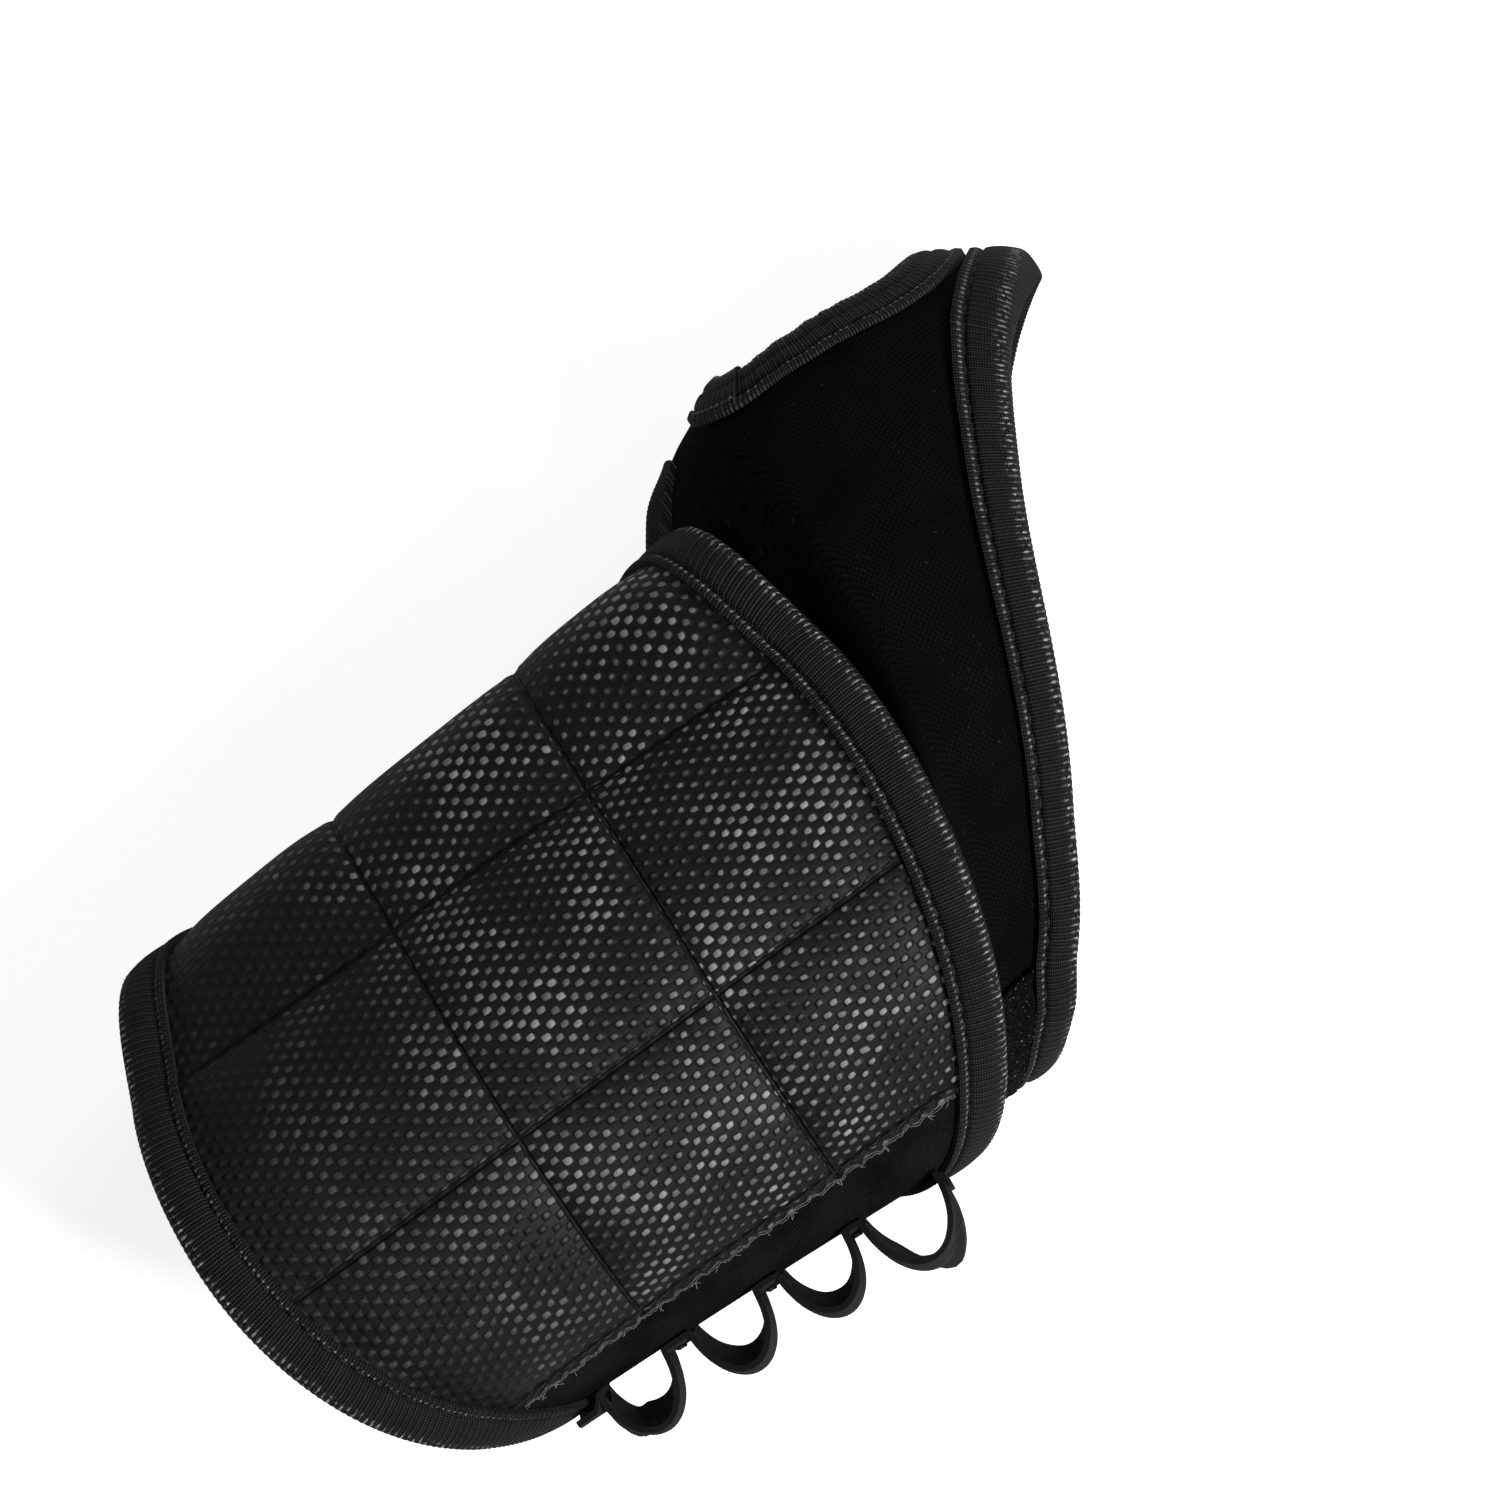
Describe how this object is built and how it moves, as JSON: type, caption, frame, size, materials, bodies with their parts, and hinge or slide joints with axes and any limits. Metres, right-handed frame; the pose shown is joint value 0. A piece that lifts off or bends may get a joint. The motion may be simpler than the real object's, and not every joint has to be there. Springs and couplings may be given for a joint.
{
  "type": "magnetic wristband",
  "caption": "Quilted magnetic wrist cuff with an oblique hand sling, thumb hole, elastic side loops and a hinged hook-and-loop closure flap, bound in ribbed tape.",
  "frame": {"origin": "on the flat palm side of the cuff, which rests on Z = 0, under the middle of the cuff", "axes": "+X from the forearm to the fingers, +Y to the thumb side, +Z to the back of the hand"},
  "size_m": [0.154, 0.1097, 0.0573],
  "materials": {
    "nylon": "coarse woven nylon",
    "binding": "ribbed grosgrain tape",
    "neoprene": "matt knit-faced neoprene",
    "foam": "matt foam",
    "knit": "fine knit",
    "pile": "brushed loop pile",
    "hook": "moulded hooks",
    "elastic": "woven elastic",
    "thread": "spun thread",
    "magnet": "nickel plate"
  },
  "bodies": {
    "cuff": {"panel_nylon": "nylon", "panel_foam": "foam", "magnet_1": "magnet", "magnet_2": "magnet", "magnet_3": "magnet", "magnet_4": "magnet", "magnet_5": "magnet", "magnet_6": "magnet", "wrap_neoprene": "neoprene", "wrap_knit_cover": "knit", "cuff_lining": "knit", "raw_edge_overlock": "thread", "distal_binding": "binding", "proximal_binding": "binding", "tail_binding": "binding", "loop_pile": "pile", "elastic_loop_tape": "elastic", "bar_tack_1": "thread", "bar_tack_2": "thread", "bar_tack_3": "thread", "hand_sling": "neoprene", "hand_edge_binding": "binding", "thumb_hole_binding": "binding", "sling_pile_patch": "pile"},
    "closure": {"flap_nylon": "nylon", "flap_foam": "foam", "magnet_7": "magnet", "magnet_8": "magnet", "magnet_9": "magnet", "flap_lining": "knit", "flap_hook": "hook", "flap_binding": "binding"}
  },
  "joints": [
    {"name": "closure_flap", "type": "hinge", "parent": "cuff", "child": "closure", "pos_m": [0, 0.02199, 0.04658], "axis": [0.9978, 0.0395, 0.0536], "range_deg": [0, 95]}
  ]
}
